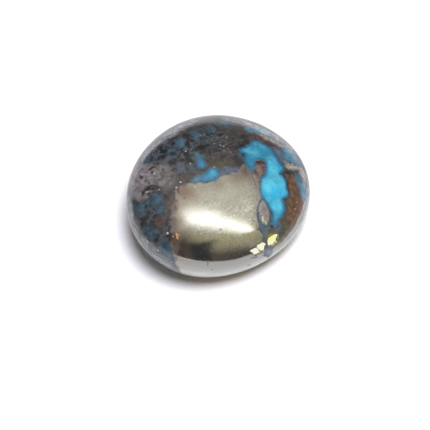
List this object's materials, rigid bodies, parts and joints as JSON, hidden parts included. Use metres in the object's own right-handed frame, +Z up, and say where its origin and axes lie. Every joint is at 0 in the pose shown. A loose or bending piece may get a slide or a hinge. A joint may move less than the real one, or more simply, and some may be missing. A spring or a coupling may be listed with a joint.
{
  "type": "polished turquoise stone with pyrite",
  "caption": "Oval polished turquoise stone with a metallic pyrite field in brown and grey matrix, domed above, with a rounded belly that rests on a small flat spot.",
  "frame": {"origin": "middle of the stone's box, on the plane that it rests on", "axes": "+Z up from the resting plane, X along the stone's long axis with the dome's crest towards -X"},
  "size_m": [0.0202, 0.0186, 0.0073],
  "materials": {
    "polished_mineral": "polished: sky-blue turquoise patches and a brassy metallic pyrite field in dark brown and grey matrix"
  },
  "bodies": {
    "root": {"turquoise_stone": "polished_mineral"}
  },
  "joints": []
}
